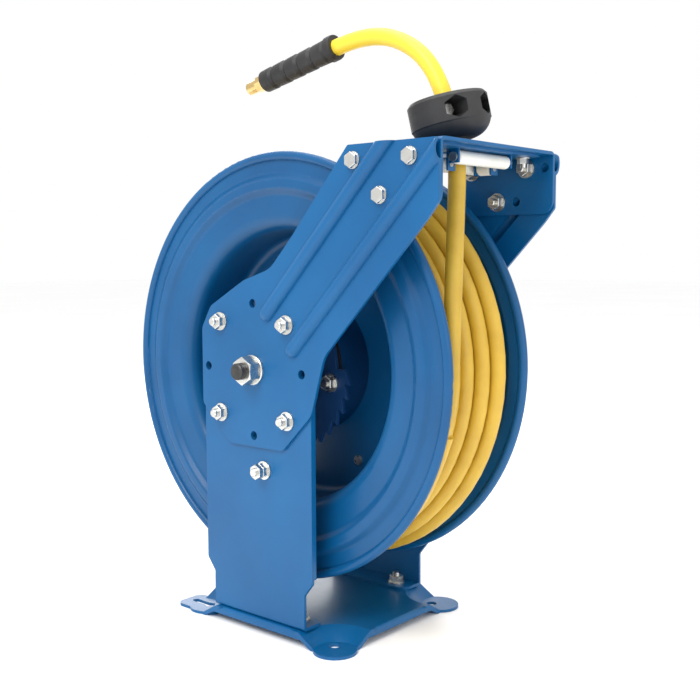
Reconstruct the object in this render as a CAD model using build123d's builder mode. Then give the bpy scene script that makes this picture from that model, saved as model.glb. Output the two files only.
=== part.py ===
from build123d import *
import math
import os

# Spring-driven hose reel with two arms: a wound air hose on a drum between two uprights.
# Millimetres.  Z is up, X runs along the axle, -Y is the front, where the hose comes off.
# The origin is the centre of the four base holes, on the floor.

os.makedirs("parts", exist_ok=True)

# ---------------------------------------------------------------- driving dimensions
axle_z = 260.0            # axle height above the floor
disc_r = 210.0            # outer radius of the two side discs
sheet = 3.0               # plate of the frame
web_x = 91.5              # outer face of the uprights and of the guide bracket
arm_x = web_x + sheet     # outer face of the arms
upright_w = 146.0         # upright across its wide part
foot_w = 125.0            # upright across its foot
bolt_circle_r = 64.0      # eight holes in the arm plates around the axle
top_z = 206.0             # guide bracket's top above the axle
front_y = -218.5          # front edge of the arms and the bracket
hose_d = 16.0             # outside of the hose, 3/8 in bore
base_x = 96.0             # half the base's length along the axle
base_y = 107.0            # half its width, front to back
base_top = 14.0           # top of the base plate
hole_x = 77.0             # base holes
hole_y = 88.0
gap = 0.05                # running clearance on a radius

hose_r = hose_d / 2
inner_x = web_x - sheet


def side_plane(x):
    """Sketch plane square to the axle at x: local x runs along +Y, local y up from the axle."""
    return Plane(origin=(x, 0, axle_z), x_dir=(0, 1, 0), z_dir=(1, 0, 0))


def tube_part(outer, inner, length):
    """A plain sleeve along Z from 0 to length."""
    with BuildPart() as sleeve:
        with BuildSketch():
            Circle(outer)
            Circle(inner, mode=Mode.SUBTRACT)
        extrude(amount=length)
    return sleeve.part


def flange_nut(bore, flats, flange, height):
    """Hexagon nut with a round flange, standing on Z = 0."""
    with BuildPart() as nut:
        with BuildSketch():
            Circle(flange)
        extrude(amount=height * 0.2, taper=0)
        with BuildSketch(Plane.XY.offset(height * 0.2)):
            RegularPolygon(flats / 2, 6, major_radius=False)
        extrude(amount=height * 0.8)
        with BuildSketch():
            Circle(bore)
        extrude(amount=height, mode=Mode.SUBTRACT)
        crown = nut.faces().sort_by(Axis.Z)[-1]
        chamfer(crown.outer_wire().edges(), length=height * 0.07)
    return nut.part


def bolt(shank, length, flats, flange, head):
    """Flanged hexagon bolt: its head hangs below Z = 0 and its shank points up."""
    with BuildPart() as screw:
        with BuildSketch(Plane.XY.offset(-head * 0.25)):
            Circle(flange)
        extrude(amount=head * 0.25)
        with BuildSketch(Plane.XY.offset(-head)):
            RegularPolygon(flats / 2, 6, major_radius=False)
        extrude(amount=head * 0.75)
        chamfer(screw.faces().sort_by(Axis.Z)[0].edges(), length=head * 0.08)
        with BuildSketch():
            Circle(shank)
        extrude(amount=length)
        chamfer(screw.faces().sort_by(Axis.Z)[-1].edges(), length=shank * 0.2)
    return screw.part


def sunk_screw(shank, length, depth):
    """Countersunk socket screw: its flat top is at Z = 0 and its shank points up."""
    with BuildPart() as screw:
        Cone(shank + depth, shank, depth, align=(Align.CENTER, Align.CENTER, Align.MIN))
        with BuildSketch():
            Circle(shank)
        extrude(amount=length)
        with BuildSketch():
            RegularPolygon(2.0, 6, major_radius=False)
        extrude(amount=2.2, mode=Mode.SUBTRACT)
    return screw.part


def place(piece, point, axis):
    """The piece with its origin at point and its Z along axis."""
    return Plane(origin=point, z_dir=axis).location * piece


def write(builder, name):
    """Label a finished piece and write its STEP file."""
    builder.part.label = name
    export_step(builder.part, "parts/" + name + ".step")


# ---------------------------------------------------------------- base
ear_r = 21.0
dish_r = 22.0
dish_top_r = 45.0
dish_shift = 9.0          # the dishes' centres stand this far outside the holes
hole_r = 5.25
slot_r = 3.5
slot_end = 22.0           # keyhole slot beyond its round end
tab_w = 34.0
tab_end = 122.0
ear_points = [(sx * hole_x, sy * hole_y) for sx in (-1, 1) for sy in (-1, 1)]
dish_points = [(sx * (hole_x + dish_shift), sy * (hole_y + dish_shift)) for sx in (-1, 1) for sy in (-1, 1)]
ear_tips = [(sx * (hole_x + 5), -hole_y - 5) for sx in (-1, 1)]

with BuildPart() as base_plate:
    with BuildSketch(Plane.XY.offset(7)):
        RectangleRounded(2 * base_x, 2 * base_y, 14)
    extrude(amount=base_top - 7)
    fillet(base_plate.faces().sort_by(Axis.Z)[-1].edges(), radius=3.5)
    with BuildSketch(Plane.XY.offset(7)):
        RectangleRounded(2 * base_x - 2 * sheet, 2 * base_y - 2 * sheet, 11)
    extrude(amount=base_top - 7 - sheet, mode=Mode.SUBTRACT)
    # each corner is pressed down to the floor in a dish
    with Locations(*[(x, y, 7) for x, y in dish_points]):
        Cone(dish_r + sheet, dish_top_r + sheet, base_top, mode=Mode.ADD)
    with Locations(*[(x, y, 7 + sheet) for x, y in dish_points]):
        Cone(dish_r, dish_top_r, base_top, mode=Mode.SUBTRACT)
    # the dishes are trimmed to the plate's outline
    with BuildSketch(Plane.XY):
        Rectangle(500, 500)
        RectangleRounded(2 * base_x, 2 * base_y, 14, mode=Mode.SUBTRACT)
    extrude(amount=base_top + 10, mode=Mode.SUBTRACT)
    # ears that lie on the floor
    with BuildSketch(Plane.XY):
        with Locations(*ear_tips):
            Circle(ear_r)
        with Locations(*[(sx * hole_x, (tab_end + hole_y - ear_r) / 2) for sx in (-1, 1)]):
            RectangleRounded(tab_w, tab_end - hole_y + ear_r, 9)
        with Locations(*[(sx * hole_x, hole_y) for sx in (-1, 1)]):
            Circle(ear_r)
    extrude(amount=sheet)
    with BuildSketch(Plane.XY):
        with Locations(*ear_points):
            Circle(hole_r)
        with Locations(*[(sx * hole_x, hole_y + slot_end / 2) for sx in (-1, 1)]):
            Rectangle(2 * slot_r, slot_end)
        with Locations(*[(sx * hole_x, hole_y + slot_end) for sx in (-1, 1)]):
            Circle(slot_r)
    extrude(amount=base_top + 1, mode=Mode.SUBTRACT)
    foot_points = [(sx * 75.0, sy * 42.0) for sx in (-1, 1) for sy in (-1, 1)]
    with Locations(*[(x, y, base_top) for x, y in foot_points]):
        Hole(4.3, depth=sheet + 1)
write(base_plate, "base_plate")

# ---------------------------------------------------------------- uprights
web_bottom = base_top - axle_z            # foot's underside, from the axle
neck_top = -198.0
neck_bottom = -211.0
upright_top = 72.0
foot_in = 62.0                            # how far in the foot reaches
lip = 6.0                                 # return edge along both sides

with BuildPart() as left_upright:
    with BuildSketch(side_plane(-web_x)):
        with BuildLine():
            FilletPolyline(
                (-foot_w / 2, web_bottom), (-foot_w / 2, neck_bottom), (-upright_w / 2, neck_top),
                (-upright_w / 2, 36), (-36, upright_top), (36, upright_top), (upright_w / 2, 36),
                (upright_w / 2, neck_top), (foot_w / 2, neck_bottom), (foot_w / 2, web_bottom),
                radius=5,
            )
            Line((foot_w / 2, web_bottom), (-foot_w / 2, web_bottom))
        make_face()
    extrude(amount=sheet)
    # return edges
    with BuildSketch(side_plane(-web_x)):
        with Locations(*[(s * (upright_w / 2 - sheet / 2), (32 + neck_top + 4) / 2) for s in (-1, 1)]):
            Rectangle(sheet, 32 - neck_top - 4)
    extrude(amount=lip)
    # foot, turned in along the base
    with BuildSketch(Plane.XY.offset(base_top)):
        with Locations((-(web_x + foot_in) / 2, 0)):
            Rectangle(web_x - foot_in, foot_w)
    extrude(amount=sheet)
    corners = left_upright.edges().filter_by(Axis.Z).group_by(Axis.X)[-1]
    fillet(corners, radius=12)
    heel = left_upright.edges().filter_by(Axis.Y).group_by(Axis.Z)[0].sort_by(Axis.X)[0]
    fillet(heel, radius=2.8)
    with BuildSketch(side_plane(-web_x)):
        Circle(8.2)
        with PolarLocations(bolt_circle_r, 8):
            Circle(4.3)
        with Locations((-11, -97)):
            Circle(4.1)
    extrude(amount=sheet, mode=Mode.SUBTRACT)
    with Locations(*[(-75, sy * 42.0, base_top + sheet) for sy in (-1, 1)]):
        Hole(4.3, depth=sheet + 1)
write(left_upright, "left_upright")

with BuildPart() as right_upright:
    mirror(left_upright.part, about=Plane.YZ)
    with BuildSketch(side_plane(inner_x)):
        Circle(10.1)
    extrude(amount=sheet, mode=Mode.SUBTRACT)
write(right_upright, "right_upright")

# ---------------------------------------------------------------- arms
rib_r = 8.0
rib_angle = 46.4
rib_starts = [(-20.0, 55.0), (-53.5, 22.5)]
arm_bolt_points = [(-127.5, 191.5), (-189.5, 191.5), (-157.5, 160.5)]
spare_holes = [(-148.5, 191.5), (-178.5, 160.5), (-209.5, 191.5)]


def arm_outline():
    """The arm's outline, as a wire of straight edges and rounded corners."""
    return FilletPolyline(
        (-121, top_z - 1), (-53, 127), (-24, 97), (12, 86), (60, 60), (73, 38), (73, -38), (34, -75),
        (-38, -75), (-76, -37), (-92, 18), (-208, 140), (front_y, 153), (front_y, top_z - 1),
        radius=[3, 30, 30, 30, 14, 8, 8, 8, 8, 20, 30, 5, 5, 4],
        close=True,
    )


with BuildPart() as left_arm:
    with BuildSketch(side_plane(-arm_x)):
        with BuildLine():
            arm_outline()
        make_face()
    extrude(amount=sheet)
    rib_dir = Vector(0, -math.cos(math.radians(rib_angle)), math.sin(math.radians(rib_angle)))
    for start_y, start_z in rib_starts:
        heel_point = Vector(-arm_x + 1.5, start_y, axle_z + start_z)
        with BuildSketch(Plane(origin=heel_point, z_dir=rib_dir)):
            Circle(rib_r)
        extrude(amount=280)
        with Locations(heel_point):
            Sphere(rib_r)
        with BuildSketch(Plane(origin=heel_point, z_dir=rib_dir)):
            Circle(rib_r - sheet + 0.5)
        extrude(amount=280, mode=Mode.SUBTRACT)
        with Locations(heel_point):
            Sphere(rib_r - sheet + 0.5, mode=Mode.SUBTRACT)
    # trim the ribs to the plate's own outline and to its inner face
    with BuildSketch(side_plane(-arm_x - 20)):
        with BuildLine():
            arm_outline()
        make_face()
    extrude(amount=20 + sheet, mode=Mode.INTERSECT)
    with BuildSketch(side_plane(-arm_x)):
        Circle(8.2)
        with PolarLocations(bolt_circle_r, 8):
            Circle(4.3)
        with Locations(*arm_bolt_points):
            Circle(4.3)
    extrude(amount=sheet, mode=Mode.SUBTRACT)
write(left_arm, "left_arm")

with BuildPart() as right_arm:
    mirror(left_arm.part, about=Plane.YZ)
    with BuildSketch(side_plane(web_x)):
        Circle(10.1)
    extrude(amount=sheet, mode=Mode.SUBTRACT)
write(right_arm, "right_arm")

# ---------------------------------------------------------------- guide bracket
bracket_back = -118.0
bracket_foot = 148.0
slot_x = 26.0                             # half the hose opening along the axle
guide_y = -179.0                          # middle of the hose opening
guide_x = -13.0                           # where the hose stands in it
guide_bolts_at = [(sx * 72.0, guide_y + sy * 17.0) for sx in (-1, 1) for sy in (-1, 1)]
m6 = 3.0
sink = 2.8                                # depth of the countersinks

with BuildPart() as guide_bracket:
    with BuildSketch(Plane.XZ.offset(-bracket_back)):
        with Locations((0, axle_z + (top_z + bracket_foot) / 2)):
            Rectangle(2 * web_x, top_z - bracket_foot)
    extrude(amount=bracket_back - front_y)
    fillet(guide_bracket.edges().filter_by(Axis.Y).group_by(Axis.Z)[-1], radius=6)
    with BuildSketch(Plane.XZ.offset(-bracket_back)):
        with Locations((0, axle_z + (top_z - sheet + bracket_foot) / 2)):
            Rectangle(2 * inner_x, top_z - sheet - bracket_foot)
    extrude(amount=bracket_back - front_y, mode=Mode.SUBTRACT)
    lower = guide_bracket.edges().filter_by(Axis.X).group_by(Axis.Z)[0]
    fillet(lower, radius=12)
    with BuildSketch(side_plane(-web_x)):
        with Locations(*(arm_bolt_points + spare_holes)):
            Circle(4.3)
    extrude(amount=2 * web_x, mode=Mode.SUBTRACT)
    with BuildSketch(Plane.XY.offset(axle_z + top_z - sheet)):
        with Locations((0, guide_y)):
            RectangleRounded(2 * slot_x, 30, 8)
        with Locations(*guide_bolts_at):
            Circle(3.2)
    extrude(amount=sheet, mode=Mode.SUBTRACT)
    with Locations(*[(x, y, axle_z + top_z - sink / 2) for x, y in guide_bolts_at]):
        Cone(m6, m6 + sink, sink, mode=Mode.SUBTRACT)
write(guide_bracket, "guide_bracket")

# ---------------------------------------------------------------- roller frame and rollers
plate_top = axle_z + top_z - sheet
plate_t = 2.5
long_r = 6.0
short_r = 6.0
long_half = 40.0
long_dy = 18.0                            # long rollers in front of and behind the hose
long_z = plate_top - plate_t - long_r - 1.0
rear_drop = 3.5           # the rear roller hangs this much lower
long_places = [(long_z, -long_dy), (long_z - rear_drop, long_dy)]
short_x = 34.0
short_z = long_z - 5.0
short_half = 7.5
pin_r = 3.0

with BuildPart() as roller_frame:
    with BuildSketch(Plane.XY.offset(plate_top - plate_t)):
        with Locations((0, guide_y)):
            RectangleRounded(168, 62, 8)
            RectangleRounded(2 * slot_x, 30, 8, mode=Mode.SUBTRACT)
        with Locations(*guide_bolts_at):
            Circle(3.2, mode=Mode.SUBTRACT)
    extrude(amount=plate_t)
    # side lugs carry the long rollers' pins
    for z, dy in long_places:
        with BuildSketch(Plane.XY.offset(z - 5)):
            with Locations(*[(s * (long_half + 1.8), guide_y + dy) for s in (-1, 1)]):
                Rectangle(2, 10)
        extrude(amount=plate_top - plate_t - z + 5)
    # small lugs carry the short rollers' pins
    with BuildSketch(Plane.XY.offset(short_z - 6)):
        for sx in (-short_x, short_x):
            with Locations((sx, guide_y - short_half - 1.2), (sx, guide_y + short_half + 1.2)):
                Rectangle(11, 1.6)
    extrude(amount=plate_top - plate_t - short_z + 6)
    for z, dy in long_places:
        for side in (-1, 1):
            start = (side * (long_half + 5), guide_y + dy, z)
            with BuildSketch(Plane(origin=start, z_dir=(-side, 0, 0))):
                Circle(pin_r)
            extrude(amount=5.0, mode=Mode.SUBTRACT)
    for sx in (-1, 1):
        with BuildSketch(Plane(origin=(sx * short_x, guide_y - 12, short_z), z_dir=(0, 1, 0))):
            Circle(pin_r - 0.5)
        extrude(amount=24, mode=Mode.SUBTRACT)
write(roller_frame, "roller_frame")


def roller(radius, bore, half):
    """A nylon roller along Z with rounded ends, centred on the origin."""
    with BuildPart() as roll:
        with BuildSketch():
            Circle(radius)
        extrude(amount=half, both=True)
        fillet(roll.edges().filter_by(GeomType.CIRCLE), radius=radius * 0.42)
        with BuildSketch():
            Circle(bore)
        extrude(amount=half + 1, both=True, mode=Mode.SUBTRACT)
    return roll.part


def headed_pin(radius, half, head):
    """A pin along Z with a thin head at each end."""
    with BuildPart() as pin:
        with BuildSketch():
            Circle(radius)
        extrude(amount=half, both=True)
        for end in (-1, 1):
            with BuildSketch(Plane.XY.offset(end * half)):
                Circle(head)
            extrude(amount=end * 1.5)
    return pin.part


with BuildPart() as front_roller:
    add(place(roller(long_r, pin_r + gap, long_half), (0, guide_y - long_dy, long_z), (1, 0, 0)))
write(front_roller, "front_roller")

with BuildPart() as rear_roller:
    add(place(roller(long_r, pin_r + gap, long_half), (0, guide_y + long_dy, long_z - rear_drop), (1, 0, 0)))
write(rear_roller, "rear_roller")

with BuildPart() as left_roller:
    add(place(roller(short_r, pin_r - 0.5 + gap, short_half), (-short_x, guide_y, short_z), (0, 1, 0)))
write(left_roller, "left_roller")

with BuildPart() as right_roller:
    add(place(roller(short_r, pin_r - 0.5 + gap, short_half), (short_x, guide_y, short_z), (0, 1, 0)))
write(right_roller, "right_roller")

with BuildPart() as long_roller_pins:
    for z, dy in long_places:
        add(place(headed_pin(pin_r, long_half + 3.0, 4.2), (0, guide_y + dy, z), (1, 0, 0)))
write(long_roller_pins, "long_roller_pins")

with BuildPart() as short_roller_pins:
    for sx in (-1, 1):
        with BuildSketch(Plane(origin=(sx * short_x, guide_y, short_z), z_dir=(0, 1, 0))):
            Circle(pin_r - 0.5)
        extrude(amount=short_half + 2.5, both=True)
write(short_roller_pins, "short_roller_pins")

# ---------------------------------------------------------------- frame fasteners
m8 = 4.0
m8_flats = 13.0
m8_flange = 9.0
nut_h = 8.0
head_h = 6.0


def bolt_set(points, direction, length, shank=m8, flats=m8_flats, flange=m8_flange, head=head_h):
    """One bolt at each point, as a list of separate solids."""
    return [place(bolt(shank, length, flats, flange, head), point, direction) for point in points]


def nut_set(points, direction, bore=m8, flats=m8_flats, flange=m8_flange, height=nut_h):
    """One flange nut at each point, as a list of separate solids."""
    return [place(flange_nut(bore, flats, flange, height), point, direction) for point in points]


hub_angles = [45, 135, 225, 315]
hub_points = [
    (bolt_circle_r * math.cos(math.radians(a)), axle_z + bolt_circle_r * math.sin(math.radians(a)))
    for a in hub_angles
]

with BuildPart() as hub_bolts:
    for side in (-1, 1):
        for piece in bolt_set([(side * inner_x, y, z) for y, z in hub_points], (side, 0, 0), 18.5):
            add(piece)
write(hub_bolts, "hub_bolts")

with BuildPart() as hub_nuts:
    for side in (-1, 1):
        for piece in nut_set([(side * arm_x, y, z) for y, z in hub_points], (side, 0, 0)):
            add(piece)
write(hub_nuts, "hub_nuts")

with BuildPart() as arm_bolts:
    for side in (-1, 1):
        points = [(side * arm_x, y, axle_z + z) for y, z in arm_bolt_points]
        for piece in bolt_set(points, (-side, 0, 0), 18.5, m8, 12.4, 7.6, 5.0):
            add(piece)
write(arm_bolts, "arm_bolts")

with BuildPart() as arm_nuts:
    for side in (-1, 1):
        points = [(side * inner_x, y, axle_z + z) for y, z in arm_bolt_points]
        for piece in nut_set(points, (-side, 0, 0)):
            add(piece)
write(arm_nuts, "arm_nuts")

with BuildPart() as foot_bolts:
    points = [(x, y, base_top - sheet) for x, y in foot_points]
    for piece in bolt_set(points, (0, 0, 1), 17.5):
        add(piece)
write(foot_bolts, "foot_bolts")

with BuildPart() as foot_nuts:
    points = [(x, y, base_top + sheet) for x, y in foot_points]
    for piece in nut_set(points, (0, 0, 1)):
        add(piece)
write(foot_nuts, "foot_nuts")

with BuildPart() as guide_bolts:
    for x, y in guide_bolts_at:
        add(place(sunk_screw(m6, 15.0, sink), (x, y, axle_z + top_z), (0, 0, -1)))
write(guide_bolts, "guide_bolts")

with BuildPart() as guide_nuts:
    points = [(x, y, plate_top - plate_t) for x, y in guide_bolts_at]
    for piece in nut_set(points, (0, 0, -1), m6, 10.0, 7.0, 6.0):
        add(piece)
write(guide_nuts, "guide_nuts")

# ---------------------------------------------------------------- drum
axle_axis = Axis((0, 0, axle_z), (1, 0, 0))
radial = Plane(origin=(0, 0, axle_z), x_dir=(0, 0, 1), z_dir=(0, 1, 0))   # local x: radius, y: along X
disc_t = 2.0
well_r = 135.5            # drum wall, middle of the sheet
rim_x = 61.0
bead_r = 4.5
ridge_r = 179.0
rivet_r = 110.0
stud_circle = 60.0
stud_angles = [12.0, 102.0, 192.0, 282.0]   # from the front, downwards


def around(radius, angle, x=0.0):
    """Point at this radius from the axle; the angle runs from the front downwards."""
    a = math.radians(angle)
    return (x, -radius * math.cos(a), axle_z - radius * math.sin(a))


def beside(radius, angle):
    """The same point in the coordinates of a side plane."""
    a = math.radians(angle)
    return (-radius * math.cos(a), -radius * math.sin(a))


stud_points = [beside(stud_circle, angle) for angle in stud_angles]

with BuildPart() as left_disc:
    with BuildSketch(radial):
        with BuildLine():
            FilletPolyline(
                (12 + disc_t / 2, -disc_t / 2), (well_r, -disc_t / 2), (well_r, -58),
                (ridge_r - 10, -60.5), (ridge_r - 4, -65.5), (ridge_r + 4, -65.5),
                (ridge_r + 10, -60.5), (disc_r - bead_r, -60.5),
                radius=[8, 14, 6, 3, 3, 6],
            )
            offset(amount=disc_t / 2, side=Side.BOTH)
        make_face()
    revolve(axis=axle_axis)
    with BuildSketch(radial):
        with Locations((disc_r - bead_r, -rim_x)):
            Circle(bead_r)
    revolve(axis=axle_axis)
    with BuildSketch(side_plane(-disc_t)):
        with PolarLocations(rivet_r, 6):
            Circle(2.5)
        with Locations(*stud_points):
            Circle(4.05)
    extrude(amount=disc_t, mode=Mode.SUBTRACT)
write(left_disc, "left_disc")

port_x = 26.0             # where the air leaves the shaft
neck_r = 6.0
with BuildPart() as right_disc:
    mirror(left_disc.part, about=Plane.YZ)
    with BuildSketch(Plane(origin=(port_x, 0, axle_z + well_r - 5))):
        Circle(neck_r + 2)
    extrude(amount=10, mode=Mode.SUBTRACT)
    with BuildSketch(side_plane(0)):
        with PolarLocations(24.5, 4):
            Circle(2.5)
    extrude(amount=disc_t, mode=Mode.SUBTRACT)
write(right_disc, "right_disc")

with BuildPart() as drum_rivets:
    for index in range(6):
        foot = side_plane(-disc_t - 2).location * Location((0, 0, 0), (0, 0, 60 * index))
        with BuildSketch(Plane(foot)):
            with Locations((rivet_r, 0)):
                Circle(2.5)
        extrude(amount=2 * disc_t + 4)
        for x in (-disc_t - 2, disc_t):
            with BuildSketch(Plane(side_plane(x).location * Location((0, 0, 0), (0, 0, 60 * index)))):
                with Locations((rivet_r, 0)):
                    Circle(5)
            extrude(amount=2)
write(drum_rivets, "drum_rivets")

# ---------------------------------------------------------------- spring motor
case_r = 68.0
case_t = 2.0
cover_x = -42.0
ratchet_x = cover_x - case_t
ratchet_t = 4.0
shaft_r = 10.0

with BuildPart() as spring_case:
    with BuildSketch(radial):
        with BuildLine():
            Polyline(
                (12, -disc_t), (case_r, -disc_t), (case_r, cover_x), (case_r - case_t, cover_x),
                (case_r - case_t, -disc_t - case_t), (12, -disc_t - case_t), close=True,
            )
        make_face()
    revolve(axis=axle_axis)
    with BuildSketch(side_plane(-disc_t - case_t)):
        with Locations(*stud_points):
            Circle(4.05)
    extrude(amount=case_t, mode=Mode.SUBTRACT)
write(spring_case, "spring_case")

with BuildPart() as spring_cover:
    with BuildSketch(side_plane(ratchet_x)):
        Circle(case_r)
        Circle(14, mode=Mode.SUBTRACT)
        with Locations(*stud_points):
            Circle(4.05, mode=Mode.SUBTRACT)
    extrude(amount=case_t)
write(spring_cover, "spring_cover")

# ratchet: two toothed arcs, their steep faces downwards at the front
tip_r = 84.5
root_r = 76.5
pitch = 10.0
first_tip = 9.0
teeth = 11
ratchet_points = []
for lobe in (0, 180):
    for k in range(teeth):
        start = lobe + first_tip + pitch * (k - 1)
        ratchet_points += [beside(root_r, start), beside(tip_r, start + pitch)]
    last = lobe + first_tip + pitch * (teeth - 1)
    step = (180 - teeth * pitch) / 4
    ratchet_points += [beside(66, last + step * k) for k in range(5)]

with BuildPart() as ratchet_plate:
    with BuildSketch(side_plane(ratchet_x - ratchet_t)):
        with BuildLine():
            Polyline(*ratchet_points, close=True)
        make_face()
        Circle(14, mode=Mode.SUBTRACT)
        with Locations(*stud_points):
            Circle(4.05, mode=Mode.SUBTRACT)
    extrude(amount=ratchet_t)
write(ratchet_plate, "ratchet_plate")

stud_end = ratchet_x - ratchet_t - nut_h - 3
with BuildPart() as case_studs:
    with BuildSketch(side_plane(stud_end)):
        with Locations(*stud_points):
            Circle(m8)
    extrude(amount=disc_t + nut_h + 2 - stud_end)
write(case_studs, "case_studs")

case_nut = flange_nut(m8, m8_flats, m8_flange, nut_h)
with BuildPart() as case_nuts:
    for y, z in stud_points:
        add(place(case_nut, (ratchet_x - ratchet_t, y, axle_z + z), (-1, 0, 0)))
        add(place(case_nut, (disc_t, y, axle_z + z), (1, 0, 0)))
write(case_nuts, "case_nuts")

spring_turns = 8
spring_in = 16.4
spring_out = stud_circle - m8 - 1.7
strip = 1.6


def spiral(radius_shift):
    """Points of the power spring's spiral, moved outwards by radius_shift."""
    steps = 12 * spring_turns
    rise = (spring_out - spring_in) / steps
    return [
        (
            (spring_in + rise * i + radius_shift) * math.cos(math.radians(30 * i + stud_angles[0])),
            (spring_in + rise * i + radius_shift) * math.sin(math.radians(30 * i + stud_angles[0])),
        )
        for i in range(steps + 1)
    ]


with BuildPart() as power_spring:
    with BuildSketch(side_plane(-38)):
        with BuildLine():
            inner_line = Spline(*spiral(0))
            outer_line = Spline(*spiral(strip))
            Line(inner_line @ 0, outer_line @ 0)
            Line(inner_line @ 1, outer_line @ 1)
        make_face()
    extrude(amount=32)
write(power_spring, "power_spring")

with BuildPart() as spring_arbor:
    with BuildSketch(side_plane(-38)):
        Circle(16)
        Circle(shaft_r, mode=Mode.SUBTRACT)
        with Locations((15, 0)):
            Rectangle(4, 3, mode=Mode.SUBTRACT)
    extrude(amount=32)
write(spring_arbor, "spring_arbor")

with BuildPart() as near_bush:
    with BuildSketch(side_plane(ratchet_x - ratchet_t)):
        Circle(14)
        Circle(shaft_r + gap, mode=Mode.SUBTRACT)
    extrude(amount=ratchet_t + case_t + 2)
    with BuildSketch(side_plane(ratchet_x - ratchet_t - 2)):
        Circle(18)
        Circle(shaft_r + gap, mode=Mode.SUBTRACT)
    extrude(amount=2)
write(near_bush, "near_bush")

# ---------------------------------------------------------------- shaft and air inlet
near_end = -117.5
far_end = 112.0
bore_r = 5.0
thread_r = 8.0

with BuildPart() as main_shaft:
    with BuildSketch(side_plane(-inner_x)):
        Circle(shaft_r)
    extrude(amount=inner_x + far_end)
    with BuildSketch(side_plane(near_end)):
        Circle(thread_r)
    extrude(amount=-near_end - inner_x)
    ends = main_shaft.edges().filter_by(GeomType.CIRCLE).sort_by(Axis.X)
    chamfer([ends[0], ends[-1]], length=1.2)
    with BuildSketch(side_plane(port_x)):
        Circle(bore_r)
    extrude(amount=far_end - port_x, mode=Mode.SUBTRACT)
    with BuildSketch(side_plane(far_end - 10)):
        Circle(7.6)
    extrude(amount=10, mode=Mode.SUBTRACT)
    with BuildSketch(Plane.XY.offset(axle_z - shaft_r - 1)):
        with Locations((port_x + bore_r - 1, 0)):
            Circle(3.5)
    extrude(amount=2 * shaft_r + 2, mode=Mode.SUBTRACT)
write(main_shaft, "main_shaft")

near_gap = inner_x + ratchet_x - ratchet_t - 2.3
with BuildPart() as near_spacer:
    add(place(tube_part(14, shaft_r, near_gap), (-inner_x, 0, axle_z), (1, 0, 0)))
write(near_spacer, "near_spacer")

with BuildPart() as far_spacer:
    add(place(tube_part(14, shaft_r, inner_x - 48.3), (48.3, 0, axle_z), (1, 0, 0)))
write(far_spacer, "far_spacer")

with BuildPart() as shaft_washer:
    add(place(tube_part(14.5, thread_r, 2.8), (-arm_x, 0, axle_z), (-1, 0, 0)))
    outer_edges = shaft_washer.edges().filter_by(GeomType.CIRCLE).group_by(Axis.X)[0]
    chamfer(outer_edges.sort_by(SortBy.LENGTH)[-1], 0.8)
write(shaft_washer, "shaft_washer")


def plain_nut(bore, flats, height):
    """Hexagon nut with both ends turned down to a cone, standing on Z = 0."""
    with BuildPart() as nut:
        with BuildSketch():
            RegularPolygon(flats / 2, 6, major_radius=False)
            Circle(bore, mode=Mode.SUBTRACT)
        extrude(amount=height)
        corner_r = flats / math.sqrt(3)
        with BuildSketch(Plane.XZ):
            with BuildLine():
                Polyline(
                    (0, 0), (flats / 2 * 0.97, 0), (corner_r + 0.1, (corner_r - flats / 2) * 0.55),
                    (corner_r + 0.1, height - (corner_r - flats / 2) * 0.55), (flats / 2 * 0.97, height),
                    (0, height), close=True,
                )
            make_face()
        revolve(axis=Axis.Z, mode=Mode.INTERSECT)
    return nut.part


with BuildPart() as shaft_nut:
    add(place(plain_nut(thread_r, 24, 13), (-arm_x - 2.8, 0, axle_z), (-1, 0, 0)))
write(shaft_nut, "shaft_nut")

with BuildPart() as inlet_locknut:
    add(place(plain_nut(shaft_r, 30, 9), (arm_x, 0, axle_z), (1, 0, 0)))
write(inlet_locknut, "inlet_locknut")

inlet_r = 7.5
inlet_end = far_end + 24
with BuildPart() as inlet_adaptor:
    with BuildSketch(side_plane(far_end - 10)):
        Circle(7.6)
    extrude(amount=10)
    with BuildSketch(side_plane(far_end)):
        RegularPolygon(13.5, 6, major_radius=False)
    extrude(amount=11)
    with BuildSketch(side_plane(far_end + 11)):
        Circle(11.5)
    extrude(amount=13)
    chamfer(inlet_adaptor.faces().sort_by(Axis.X)[-1].edges(), length=0.8)
    with BuildSketch(side_plane(far_end - 10)):
        Circle(bore_r)
    extrude(amount=34, mode=Mode.SUBTRACT)
    with BuildSketch(side_plane(inlet_end - 13)):
        Circle(inlet_r)
    extrude(amount=13, mode=Mode.SUBTRACT)
write(inlet_adaptor, "inlet_adaptor")

# swivel: turns with the drum and passes air from the shaft to the hose
collar_r = 19.0
with BuildPart() as swivel_collar:
    with BuildSketch(side_plane(disc_t)):
        Circle(30)
    extrude(amount=4)
    with BuildSketch(side_plane(disc_t)):
        Circle(collar_r)
    extrude(amount=44)
    chamfer(swivel_collar.faces().sort_by(Axis.X)[-1].edges(), length=1)
    with BuildSketch(side_plane(disc_t)):
        Circle(shaft_r + gap)
    extrude(amount=44, mode=Mode.SUBTRACT)
    for x, half, radius in ((14, 2.0, 14.0), (port_x + 4, 4.0, 12.5), (37, 2.0, 14.0)):
        with BuildSketch(side_plane(x - half)):
            Circle(radius)
        extrude(amount=2 * half, mode=Mode.SUBTRACT)
    with BuildSketch(side_plane(41)):
        Circle(13)
    extrude(amount=5, mode=Mode.SUBTRACT)
    with BuildSketch(Plane.XY.offset(axle_z)):
        with Locations((port_x, 0)):
            Circle(4)
    extrude(amount=collar_r + 1, mode=Mode.SUBTRACT)
    with BuildSketch(Plane.XY.offset(axle_z + 16)):
        with Locations((port_x, 0)):
            Circle(neck_r)
    extrude(amount=5, mode=Mode.SUBTRACT)
    with BuildSketch(side_plane(disc_t)):
        with PolarLocations(24.5, 4):
            Circle(2.5)
    extrude(amount=4, mode=Mode.SUBTRACT)
write(swivel_collar, "swivel_collar")

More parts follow.
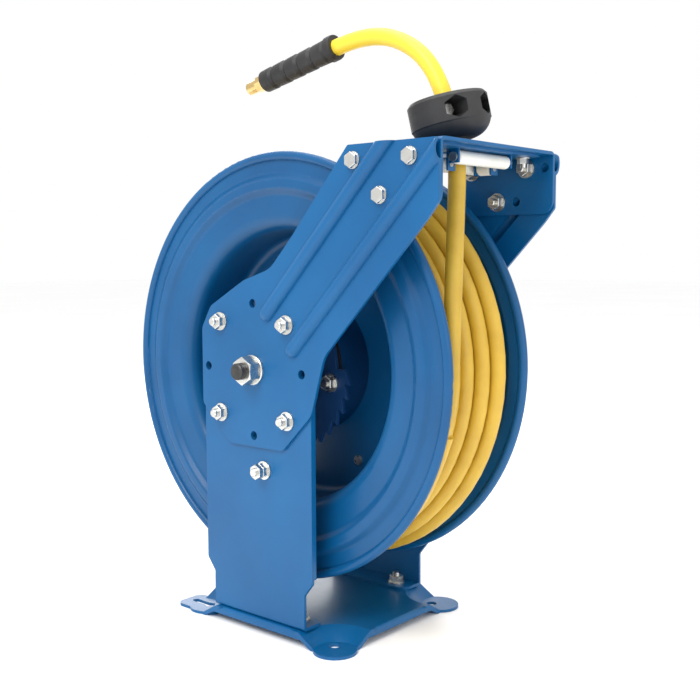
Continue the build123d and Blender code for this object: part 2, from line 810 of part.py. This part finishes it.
with BuildPart() as swivel_seals:
    for x in (14, 37):
        with BuildSketch(radial):
            with Locations((12.0, x)):
                Circle(1.9)
        revolve(axis=axle_axis)
write(swivel_seals, "swivel_seals")

with BuildPart() as far_bush:
    add(place(tube_part(13, shaft_r + gap, 5), (41, 0, axle_z), (1, 0, 0)))
    add(place(tube_part(16, shaft_r + gap, 2), (46, 0, axle_z), (1, 0, 0)))
write(far_bush, "far_bush")

with BuildPart() as swivel_screws:
    for index in range(4):
        angle = math.radians(90 * index)
        point = (disc_t + 4, 24.5 * math.cos(angle), axle_z + 24.5 * math.sin(angle))
        add(place(bolt(2.5, 6, 8, 4.2, 3), point, (-1, 0, 0)))
write(swivel_screws, "swivel_screws")

hose_in = 138.5
with BuildPart() as gooseneck:
    add(place(tube_part(neck_r, 4, hose_in - 0.3 - 16), (port_x, 0, axle_z + 16), (0, 0, 1)))
    add(place(tube_part(9, neck_r, 8), (port_x, 0, axle_z + 22), (0, 0, 1)))
write(gooseneck, "gooseneck")

# ---------------------------------------------------------------- pawl
pivot_y = -11.0
pivot_z = -97.0
pawl_x = ratchet_x - ratchet_t
release = 25.0            # the pawl stands clear at rest and turns back by this angle to engage

nose_points = [(80.3, 73), (84.9, 78.5), (88, 82), (96, 85), (102, 79), (88, 71.8)]
with BuildPart() as pawl_engaged:
    with BuildSketch(side_plane(pawl_x)):
        with BuildLine():
            Polyline(*[beside(*point) for point in nose_points], close=True)
        make_face()
        with Locations((pivot_y, pivot_z)):
            Circle(8.5)
        with Locations((pivot_y + 7, pivot_z - 11)):
            Rectangle(7, 24, rotation=30)
        with Locations((pivot_y, pivot_z)):
            Circle(m8 + gap, mode=Mode.SUBTRACT)
    extrude(amount=ratchet_t)
pawl_axis = Axis((0, pivot_y, axle_z + pivot_z), (1, 0, 0))
with BuildPart() as pawl:
    add(pawl_engaged.part.rotate(pawl_axis, release))
write(pawl, "pawl")

pawl_head_x = pawl_x + ratchet_t + 0.4
pawl_gap = inner_x + pawl_x - 0.4
with BuildPart() as pawl_bolt:
    add(place(bolt(m8, 64, m8_flats, m8_flange, 5.5), (pawl_head_x, pivot_y, axle_z + pivot_z), (-1, 0, 0)))
write(pawl_bolt, "pawl_bolt")

with BuildPart() as pawl_spacer:
    add(place(tube_part(7, m8, pawl_gap), (-inner_x, pivot_y, axle_z + pivot_z), (1, 0, 0)))
write(pawl_spacer, "pawl_spacer")

with BuildPart() as pawl_spring:
    add(place(tube_part(9.5, 7.5, 15), (pawl_x - 17, pivot_y, axle_z + pivot_z), (1, 0, 0)))
write(pawl_spring, "pawl_spring")

with BuildPart() as pawl_nuts:
    add(place(flange_nut(m8, m8_flats, m8_flange, nut_h), (-web_x, pivot_y, axle_z + pivot_z), (-1, 0, 0)))
    add(place(plain_nut(m8, m8_flats, 5), (-web_x - nut_h, pivot_y, axle_z + pivot_z), (-1, 0, 0)))
write(pawl_nuts, "pawl_nuts")

# ---------------------------------------------------------------- wound hose
coil_half = 56.0
with BuildPart() as hose_coil:
    with BuildSketch(radial):
        with BuildLine():
            Polyline(
                (hose_in, 8 - coil_half), (141, 4 - coil_half), (148, -coil_half), (186.5, -coil_half),
                (186.5, -9), (190, -8), (190, 7), (197, 8), (197, 23), (204, 24), (204, 39), (190, 41),
                (186.5, coil_half), (148, coil_half), (141, coil_half - 4), (hose_in, coil_half - 8),
                close=True,
            )
        make_face()
    revolve(axis=axle_axis)
write(hose_coil, "hose_coil")

# ---------------------------------------------------------------- leading end of the hose
lead_r = 195.3            # it lies on the last full layer
lead_x = -48.0
tangent = 4.9             # above the front, where the hose leaves the drum
wrap = 18.0
corner_a = (wrap - tangent) / 2
corner_r = lead_r / math.cos(math.radians((wrap + tangent) / 2))
stop_lean = Vector(-0.104, 0.174, 0.979).normalized()
free_x = -18.7            # plane of the free end
grip_dir = Vector(0, 88.0, -20.0).normalized()
grip_start = Vector(free_x, -42.0, axle_z + 309.5)
grip_length = 100.0
hose_end = grip_start + grip_dir * 92.0
lead_points = [
    around(lead_r, wrap, lead_x),
    around(corner_r, corner_a, lead_x),
    (guide_x, guide_y - 1.5, axle_z + 196.0),
    (free_x, guide_y + 8.1, axle_z + 250.0),
    (free_x, -149.8, axle_z + 286.5),
    (free_x, -115.0, axle_z + 308.8),
    (free_x, -75.5, axle_z + 314.7),
    tuple(grip_start + grip_dir * 12.0),
    tuple(hose_end),
]


def corner_radii(points):
    """The arc at each inner point: 0.45 of its shorter run over the tangent of half its turn."""
    radii = []
    for before, here, after in zip(points, points[1:], points[2:]):
        first = Vector(here) - Vector(before)
        second = Vector(after) - Vector(here)
        half = math.radians(first.get_angle(second)) / 2
        radii.append(0.45 * min(first.length, second.length) / math.tan(half))
    return radii


lead_radii = corner_radii(lead_points)
print("hose lead radii", [round(r) for r in lead_radii])
with BuildPart() as hose_lead:
    with BuildLine():
        lead_path = FilletPolyline(*lead_points, radius=lead_radii)
    with BuildSketch(Plane(origin=lead_path @ 0, z_dir=lead_path % 0)):
        Circle(hose_r)
    sweep()
print("hose lead length", round(lead_path.length), "volume ratio",
      round(hose_lead.part.volume / (math.pi * hose_r**2 * lead_path.length), 4))
write(hose_lead, "hose_lead")

# ---------------------------------------------------------------- hose stop
stop_r = 36.0
stop_h = 38.0
stop_base = Vector(guide_x - 1.5, guide_y + 1.0, axle_z + top_z + 4.4)
clamp_dir = Vector(-0.26, -0.966, 0)
clamp_side = 16.4
stop_plane = Plane(origin=stop_base, x_dir=clamp_dir - stop_lean * clamp_dir.dot(stop_lean), z_dir=stop_lean)
pocket_flats = 17.0
pocket_in = 15.0
bolt_level = 24.5


def stop_half(side):
    """One half of the rubber stop, on the side that the clamp direction gives."""
    with BuildPart() as half:
        with BuildSketch(Plane(stop_plane.location * Location((0, 0, 0), (90, 0, 0)))):
            with BuildLine():
                Line((0, 0), (20, 0))
                ThreePointArc((20, 0), (29.6, 4.5), (stop_r - 0.8, 13))
                Polyline((stop_r - 0.8, 13), (stop_r, 14), (stop_r, stop_h - 3), (stop_r - 2.5, stop_h))
                Polyline((stop_r - 2.5, stop_h), (0, stop_h), (0, 0))
            make_face()
        revolve(axis=Axis(stop_base, stop_lean))
        for offset_y in (-clamp_side, clamp_side):
            pocket = Location((side * pocket_in, offset_y, bolt_level), (0, 90 * side, 0))
            bolt_plane = Plane(stop_plane.location * pocket)
            with BuildSketch(bolt_plane):
                RegularPolygon(pocket_flats / 2, 6, major_radius=False)
            extrude(amount=stop_r, mode=Mode.SUBTRACT)
            with BuildSketch(bolt_plane):
                Circle(3)
            extrude(amount=-pocket_in, mode=Mode.SUBTRACT)
        with BuildSketch(stop_plane):
            with Locations((-side * (stop_r + 1), 0)):
                Rectangle(2 * (stop_r + 1), 2 * stop_r + 4)
        extrude(amount=stop_h + 1, mode=Mode.SUBTRACT)
        add(hose_lead.part, mode=Mode.SUBTRACT)
    return half.part


with BuildPart() as front_stop_half:
    add(stop_half(1))
write(front_stop_half, "front_stop_half")

with BuildPart() as rear_stop_half:
    add(stop_half(-1))
write(rear_stop_half, "rear_stop_half")

with BuildPart() as stop_bolts:
    for offset_y in (-clamp_side, clamp_side):
        start = stop_plane.from_local_coords((pocket_in, offset_y, bolt_level))
        add(place(bolt(3, 2 * pocket_in + 5, 10, 6, 5), start, -stop_plane.x_dir))
write(stop_bolts, "stop_bolts")

with BuildPart() as stop_nuts:
    for offset_y in (-clamp_side, clamp_side):
        start = stop_plane.from_local_coords((-pocket_in, offset_y, bolt_level))
        add(place(plain_nut(3, 10, 5), start, -stop_plane.x_dir))
write(stop_nuts, "stop_nuts")

# ---------------------------------------------------------------- grip and end fitting
grip_plane = Plane(origin=grip_start, x_dir=(1, 0, 0), z_dir=grip_dir)
segments = 5
with BuildPart() as hose_grip:
    with BuildSketch(Plane(grip_plane.location * Location((0, 0, 0), (90, 0, 0)))):
        with BuildLine():
            outline = [(0, 0), (12.0, 0), (12.5, 2), (12.5, 8)]
            length = (grip_length - 8) / segments
            for index in range(segments):
                start = 8 + index * length
                outline += [(9.6, start + 1.5), (11.3, start + 5), (11.0, start + length - 1)]
            outline += [(8.5, grip_length), (0, grip_length)]
            Polyline(*outline, close=True)
        make_face()
    revolve(axis=Axis(grip_start, grip_dir))
    with BuildSketch(grip_plane):
        Circle(6)
    extrude(amount=grip_length, mode=Mode.SUBTRACT)
    add(hose_lead.part, mode=Mode.SUBTRACT)
write(hose_grip, "hose_grip")

with BuildPart() as hose_fitting:
    with BuildSketch(grip_plane.offset(92)):
        Circle(6)
    extrude(amount=10)
    with BuildSketch(grip_plane.offset(grip_length + 2)):
        RegularPolygon(7, 6, major_radius=False)
    extrude(amount=8)
    with BuildSketch(grip_plane.offset(grip_length + 10)):
        Circle(6.5)
    extrude(amount=13)
    with BuildSketch(grip_plane.offset(92)):
        Circle(3.5)
    extrude(amount=31, mode=Mode.SUBTRACT)
write(hose_fitting, "hose_fitting")
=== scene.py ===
"""Spring-driven, dual-arm air hose reel: the looks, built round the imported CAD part."""
import math

import bmesh
import bpy
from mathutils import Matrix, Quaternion, Vector


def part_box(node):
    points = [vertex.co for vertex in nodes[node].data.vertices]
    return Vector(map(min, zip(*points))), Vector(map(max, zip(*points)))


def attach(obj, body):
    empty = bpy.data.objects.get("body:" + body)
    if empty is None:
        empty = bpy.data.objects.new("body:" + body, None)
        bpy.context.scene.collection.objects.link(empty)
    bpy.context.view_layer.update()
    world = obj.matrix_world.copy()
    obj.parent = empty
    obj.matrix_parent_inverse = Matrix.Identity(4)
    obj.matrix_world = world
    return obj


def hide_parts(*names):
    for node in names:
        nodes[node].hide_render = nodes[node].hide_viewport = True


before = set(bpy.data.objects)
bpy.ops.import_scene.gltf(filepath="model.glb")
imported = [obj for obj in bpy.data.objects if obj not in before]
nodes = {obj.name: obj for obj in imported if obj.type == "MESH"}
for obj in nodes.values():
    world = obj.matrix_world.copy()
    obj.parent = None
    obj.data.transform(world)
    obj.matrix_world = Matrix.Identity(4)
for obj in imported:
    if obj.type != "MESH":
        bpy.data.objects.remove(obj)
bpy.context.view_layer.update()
MM = 0.001
AXLE_Z = 0.260
HOSE_R = 0.008
GUIDE_Z = (0.45, 0.52)    # heights over which the free end's colour turns brighter


# ------------------------------------------------------------------ materials
class Graph:
    """A node-based material, built up by short calls."""

    def __init__(self, name):
        self.mat = bpy.data.materials.new(name)
        self.mat.use_nodes = True
        self.tree = self.mat.node_tree
        self.shader = self.tree.nodes["Principled BSDF"]
        self.coords = self.tree.nodes.new("ShaderNodeTexCoord").outputs["Object"]

    def link(self, source, target):
        self.tree.links.new(source, target)

    def noise(self, scale, detail=3.0, rough=0.55, stretch=None):
        tex = self.tree.nodes.new("ShaderNodeTexNoise")
        tex.inputs["Scale"].default_value = scale
        tex.inputs["Detail"].default_value = detail
        tex.inputs["Roughness"].default_value = rough
        place = self.coords
        if stretch:
            mapping = self.tree.nodes.new("ShaderNodeMapping")
            mapping.inputs["Scale"].default_value = stretch
            self.link(self.coords, mapping.inputs["Vector"])
            place = mapping.outputs["Vector"]
        self.link(place, tex.inputs["Vector"])
        return tex.outputs["Fac"]

    def ramp(self, fac, stops):
        node = self.tree.nodes.new("ShaderNodeValToRGB")
        elements = node.color_ramp.elements
        while len(elements) < len(stops):
            elements.new(0.5)
        for element, (place, colour) in zip(elements, stops):
            element.position = place
            element.color = (*colour, 1.0)
        self.link(fac, node.inputs["Fac"])
        return node.outputs["Color"]

    def spread(self, fac, low, high):
        node = self.tree.nodes.new("ShaderNodeMapRange")
        node.inputs["From Min"].default_value = 0.3
        node.inputs["From Max"].default_value = 0.7
        node.inputs["To Min"].default_value = low
        node.inputs["To Max"].default_value = high
        self.link(fac, node.inputs["Value"])
        return node.outputs["Result"]

    def above(self, colour, other, low, high):
        """Change from one colour to the other between two heights."""
        split = self.tree.nodes.new("ShaderNodeSeparateXYZ")
        self.link(self.coords, split.inputs["Vector"])
        level = self.tree.nodes.new("ShaderNodeMapRange")
        level.inputs["From Min"].default_value = low
        level.inputs["From Max"].default_value = high
        self.link(split.outputs["Z"], level.inputs["Value"])
        node = self.tree.nodes.new("ShaderNodeMix")
        node.data_type = "RGBA"
        self.link(level.outputs["Result"], node.inputs["Factor"])
        self.link(colour, node.inputs["A"])
        node.inputs["B"].default_value = (*other, 1.0)
        return node.outputs["Result"]

    def bump(self, height, strength, distance, below=None):
        node = self.tree.nodes.new("ShaderNodeBump")
        node.inputs["Strength"].default_value = strength
        node.inputs["Distance"].default_value = distance
        self.link(height, node.inputs["Height"])
        if below is not None:
            self.link(below, node.inputs["Normal"])
        return node.outputs["Normal"]

    def soft_edges(self, radius):
        node = self.tree.nodes.new("ShaderNodeBevel")
        node.samples = 4
        node.inputs["Radius"].default_value = radius
        return node.outputs["Normal"]

    def to(self, source, socket):
        self.link(source, self.shader.inputs[socket])

    def set(self, **values):
        for name, value in values.items():
            self.shader.inputs[name.replace("_", " ")].default_value = value


def paint(name, dark, light, rough=(0.34, 0.44), coat=0.12, edge=0.0007):
    """Gloss enamel on pressed steel: faint orange peel, slight colour drift, dust-dulled patches."""
    g = Graph(name)
    g.to(g.ramp(g.noise(9, 4), [(0.35, dark), (0.65, light)]), "Base Color")
    g.to(g.spread(g.noise(23, 5, 0.7), *rough), "Roughness")
    g.to(g.bump(g.noise(420, 2), 0.02, 0.0002, g.soft_edges(edge)), "Normal")
    g.set(Coat_Weight=coat, Coat_Roughness=0.16, Specular_IOR_Level=0.3)
    return g.mat


def metal(name, dark, light, rough, grain=None, edge=0.0004, depth=0.1):
    """Plated or machined metal with uneven lustre and fine grain."""
    g = Graph(name)
    g.to(g.ramp(g.noise(60, 5, 0.65), [(0.3, dark), (0.7, light)]), "Base Color")
    g.to(g.spread(g.noise(140, 4, 0.7), *rough), "Roughness")
    fine = g.noise(700, 2, 0.5, grain)
    g.to(g.bump(fine, depth, 0.0002, g.soft_edges(edge)), "Normal")
    g.set(Metallic=1.0)
    return g.mat


def rubber(name, dark, light, rough, grain=900.0, depth=0.25):
    """Moulded rubber or plastic, matte with a fine skin."""
    g = Graph(name)
    g.to(g.ramp(g.noise(35, 4), [(0.3, dark), (0.7, light)]), "Base Color")
    g.to(g.spread(g.noise(80, 4, 0.6), *rough), "Roughness")
    g.to(g.bump(g.noise(grain, 3), depth, 0.0002, g.soft_edges(0.0006)), "Normal")
    return g.mat


def hose_skin(name, dark, light, upper_colour=None):
    """Extruded hose cover: satin, slightly mottled, with scuffs; the free end turns a brighter yellow above
    the guide.
    """
    g = Graph(name)
    mottle_colour = g.ramp(g.noise(26, 5, 0.6), [(0.3, dark), (0.7, light)])
    g.to(g.above(mottle_colour, upper_colour, *GUIDE_Z) if upper_colour else mottle_colour, "Base Color")
    g.to(g.spread(g.noise(90, 5, 0.7), 0.34, 0.5), "Roughness")
    g.to(g.bump(g.noise(500, 3, 0.6), 0.12, 0.0003), "Normal")
    g.set(Subsurface_Weight=0.04, Subsurface_Scale=0.004)
    return g.mat


BLUE = paint("blue_enamel", (0.0, 0.084, 0.235), (0.001, 0.102, 0.275))
DISC_BLUE = paint("disc_enamel", (0.0, 0.070, 0.200), (0.001, 0.088, 0.240))
# painted shade: the spring case gets a darker copy of the disc enamel, standing in for the shade deep in the
# well
CASE_SHADE_BLUE = paint("case_enamel_painted_shade", (0.001, 0.035, 0.115), (0.002, 0.046, 0.145))
# painted shade: the blue ratchet plate gets a dark navy copy of the enamel, standing in for the shadow it
# sits in
RATCHET_SHADE_NAVY = paint("ratchet_enamel_painted_shade", (0.004, 0.030, 0.10), (0.006, 0.045, 0.15), rough=(0.35, 0.5), coat=0.1)
# painted shadow: the spring cover is near-black so that the gaps between the ratchet lobes show the shadow
# in the well
COVER_SHADOW_BLACK = paint("cover_painted_shadow", (0.006, 0.006, 0.007), (0.012, 0.012, 0.013), rough=(0.4, 0.55), coat=0.05)
ZINC = metal("zinc_plate", (0.55, 0.55, 0.52), (0.72, 0.71, 0.68), (0.22, 0.38))
STEEL = metal("bright_steel", (0.45, 0.45, 0.45), (0.60, 0.60, 0.59), (0.25, 0.4), (1, 30, 30))
DARK_STEEL = metal("oiled_steel", (0.05, 0.05, 0.05), (0.10, 0.10, 0.10), (0.35, 0.5), (1, 30, 30))
SPRING = metal("blued_spring_steel", (0.08, 0.10, 0.13), (0.16, 0.19, 0.23), (0.3, 0.45))
BRASS = metal("brass", (0.58, 0.40, 0.15), (0.75, 0.56, 0.25), (0.2, 0.34))
RUBBER = rubber("black_rubber", (0.010, 0.010, 0.011), (0.022, 0.022, 0.023), (0.5, 0.66))
NYLON = rubber("white_nylon", (0.70, 0.70, 0.64), (0.82, 0.82, 0.77), (0.36, 0.5), 500.0, 0.1)
YELLOW = hose_skin("yellow_hose_wound", (0.52, 0.32, 0.026), (0.62, 0.40, 0.040))
YELLOW_OUT = hose_skin("yellow_hose_lead", (0.48, 0.30, 0.026), (0.58, 0.38, 0.038), (0.86, 0.62, 0.04))

finishes = {
    BLUE: ["base_plate", "left_upright", "right_upright", "left_arm", "right_arm", "guide_bracket",
           "roller_frame"],
    DISC_BLUE: ["left_disc", "right_disc"],
    RATCHET_SHADE_NAVY: ["ratchet_plate"],
    CASE_SHADE_BLUE: ["spring_case"],
    COVER_SHADOW_BLACK: ["spring_cover"],
    ZINC: [
        "hub_bolts", "hub_nuts", "arm_bolts", "arm_nuts", "foot_bolts", "foot_nuts", "guide_bolts",
        "guide_nuts", "shaft_nut", "shaft_washer", "inlet_locknut", "pawl_bolt", "pawl_nuts", "case_studs",
        "case_nuts", "drum_rivets", "swivel_screws", "stop_bolts", "stop_nuts", "pawl",
    ],
    DARK_STEEL: ["main_shaft"],
    STEEL: ["near_spacer", "far_spacer", "pawl_spacer", "spring_arbor", "long_roller_pins",
            "short_roller_pins"],
    SPRING: ["power_spring"],
    BRASS: ["hose_fitting", "inlet_adaptor", "swivel_collar", "near_bush", "far_bush", "gooseneck"],
    RUBBER: ["front_stop_half", "rear_stop_half", "hose_grip", "swivel_seals"],
    NYLON: ["front_roller", "rear_roller", "left_roller", "right_roller"],
    YELLOW: ["hose_coil"],
    YELLOW_OUT: ["hose_lead"],
}
for material, names in finishes.items():
    for name in names:
        mesh = nodes[name].data
        mesh.materials.clear()
        mesh.materials.append(material)


# ------------------------------------------------------------------ pieces
def curve_tube(name, points, radius, material, sides=5, steps=4):
    """A round tube whose centreline is a smooth spline through control points, in metres."""
    data = bpy.data.curves.new(name, "CURVE")
    data.dimensions = "3D"
    spline = data.splines.new("NURBS")
    spline.points.add(len(points) - 1)
    for point, place in zip(spline.points, points):
        point.co = (*place, 1.0)
    spline.order_u = 3
    spline.use_endpoint_u = True
    spline.resolution_u = steps
    data.bevel_depth = radius
    data.bevel_resolution = sides
    data.use_fill_caps = True
    data.materials.append(material)
    obj = bpy.data.objects.new(name, data)
    bpy.context.scene.collection.objects.link(obj)
    return obj


def smooth(t):
    """0 to 1 with level ends."""
    t = min(1.0, max(0.0, t))
    return t * t * (3 - 2 * t)


# the wound hose: one entry per turn, (place along the axle, radius of the hose's middle), in mm
first_layer = [(x, 146.5) for x in range(-48, 49, 16)]
second_layer = [(x, 162.1) for x in range(48, -49, -16)]
third_layer = [(-48, 177.7), (-32, 177.7), (-16, 177.7), (-1, 182), (15, 189), (31, 177.7), (47, 177.7)]
turns = [(26, 146.5)] + first_layer + second_layer + third_layer + [(31, 196)]
PER_TURN = 16
LEAD_X, LEAD_R = -48, 195.3         # where the winding ends and the lead begins, in mm
CONTROL = 1 / (0.75 + 0.25 * math.cos(2 * math.pi / PER_TURN))   # puts the spline itself on the radius
# where the last turn climbs over the others to the lead: (angle, place along the axle, radius)
cross_over = [(195, 31, 196), (215, 26, 202), (235, 15, 205.5), (255, 0, 202), (275, -25, 198),
              (298, -44, LEAD_R)]


def on_drum(angle, x, radius):
    """Point in metres at this angle, measured from the front and upwards."""
    a = math.radians(angle)
    r = radius * CONTROL * MM
    return (x * MM, -r * math.cos(a), AXLE_Z + r * math.sin(a))


def winding():
    """Control points of the wound hose, from the drum's inlet outwards."""
    points = [on_drum(84, 26, 139.0)]
    for index in range(len(turns)):
        here = turns[index]
        after = turns[index + 1] if index + 1 < len(turns) else here
        begin = 95 if index == 0 else -120
        stop = 190 if index + 1 == len(turns) else 240
        for k in range(PER_TURN + 1):
            angle = -120 + 360 * k / PER_TURN
            if angle < begin or angle >= stop:
                continue
            t = smooth((angle - 120) / 120)
            x = here[0] + (after[0] - here[0]) * t
            radius = here[1] + (after[1] - here[1]) * t
            points.append(on_drum(angle, x, radius))
    points += [on_drum(*station) for station in cross_over]
    points += [on_drum(angle, LEAD_X, LEAD_R) for angle in (320, 335, 346)]
    return points


wound = curve_tube("hose_winding", winding(), HOSE_R, YELLOW)
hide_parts("hose_coil")
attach(wound, "drum")

lead_route = [
    (-0.048, -0.18574, 0.19965),
    (-0.048, -0.19797, 0.23727),
    (-0.0417, -0.19482, 0.27664),
    (-0.0207, -0.18434, 0.40788),
    (-0.013, -0.1805, 0.456),
    (-0.0187, -0.1709, 0.51),
    (-0.0187, -0.1498, 0.5465),
    (-0.0187, -0.115, 0.5688),
    (-0.0187, -0.0755, 0.5747),
    (-0.0187, -0.030298, 0.56684),
    (-0.0187, 0.047712, 0.54911),
]
lead = curve_tube("hose_to_grip", lead_route, HOSE_R, YELLOW_OUT, steps=16)
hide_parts("hose_lead")
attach(lead, "frame")


def helix(name, start, axis_length, radius, turns_count, wire, material):
    """A round-wire compression spring along X."""
    points = []
    count = int(turns_count * 12)
    for k in range(count + 1):
        a = 2 * math.pi * k / 12
        points.append((
            start[0] + axis_length * k / count,
            start[1] + radius * math.cos(a),
            start[2] + radius * math.sin(a),
        ))
    return curve_tube(name, points, wire, material, sides=3)


low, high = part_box("pawl_spring")
spring = helix("pawl_spring_coil", (low[0] + 0.001, (low[1] + high[1]) / 2, (low[2] + high[2]) / 2),
               high[0] - low[0] - 0.002, 0.0085, 7, 0.0008, ZINC)
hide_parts("pawl_spring")
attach(spring, "frame")

# ------------------------------------------------------------------ studio
floor_mat = Graph("studio_floor")
floor_mat.to(floor_mat.ramp(floor_mat.noise(1.5, 2), [(0.3, (0.97, 0.97, 0.97)), (0.7, (0.99, 0.99, 0.99))]),
             "Base Color")
floor_mat.set(Roughness=0.75)
floor_mesh = bpy.data.meshes.new("studio_floor")
bm = bmesh.new()
bmesh.ops.create_grid(bm, x_segments=2, y_segments=2, size=12)
bm.to_mesh(floor_mesh)
bm.free()
floor_mesh.materials.append(floor_mat.mat)
floor = bpy.data.objects.new("studio_floor", floor_mesh)
bpy.context.scene.collection.objects.link(floor)


def area_light(name, place, target, size, power, colour=(1, 1, 1)):
    data = bpy.data.lights.new(name, "AREA")
    data.shape = "RECTANGLE"
    data.size, data.size_y = size
    data.energy = power
    data.color = colour
    lamp = bpy.data.objects.new(name, data)
    lamp.location = place
    lamp.rotation_mode = "QUATERNION"
    lamp.rotation_quaternion = (Vector(target) - Vector(place)).to_track_quat("-Z", "Y")
    bpy.context.scene.collection.objects.link(lamp)


area_light("key", (-1.6, -0.3, 1.9), (0, 0, 0.3), (1.2, 1.2), 34)
area_light("front_fill", (-0.4, -2.6, 0.9), (0, 0, 0.3), (1.6, 1.4), 11)
area_light("top", (0.2, 0.2, 2.2), (0, 0, 0.3), (1.6, 1.6), 22)
area_light("rim", (1.4, 1.6, 1.1), (0, 0, 0.35), (1.0, 1.2), 16)

world = bpy.data.worlds.new("studio")
world.use_nodes = True
world.node_tree.nodes["Background"].inputs["Color"].default_value = (1, 1, 1, 1)
world.node_tree.nodes["Background"].inputs["Strength"].default_value = 1.0
bpy.context.scene.world = world
bpy.context.scene.view_settings.view_transform = "Standard"

# ------------------------------------------------------------------ camera
camera_data = bpy.data.cameras.new("camera")
camera_data.lens = 52.35
camera_data.sensor_width = 36
camera = bpy.data.objects.new("camera", camera_data)
azimuth, down, roll = math.radians(-49.17), math.radians(5.349), math.radians(-0.196)
back = Vector((math.sin(azimuth) * math.cos(down), -math.cos(azimuth) * math.cos(down), math.sin(down)))
camera.location = (-0.77043, -0.70743, 0.37011)
camera.rotation_mode = "QUATERNION"
camera.rotation_quaternion = (-back).to_track_quat("-Z", "Y") @ Quaternion((0, 0, 1), roll)
bpy.context.scene.collection.objects.link(camera)
bpy.context.scene.camera = camera

# ------------------------------------------------------------------ final update
bpy.context.view_layer.update()
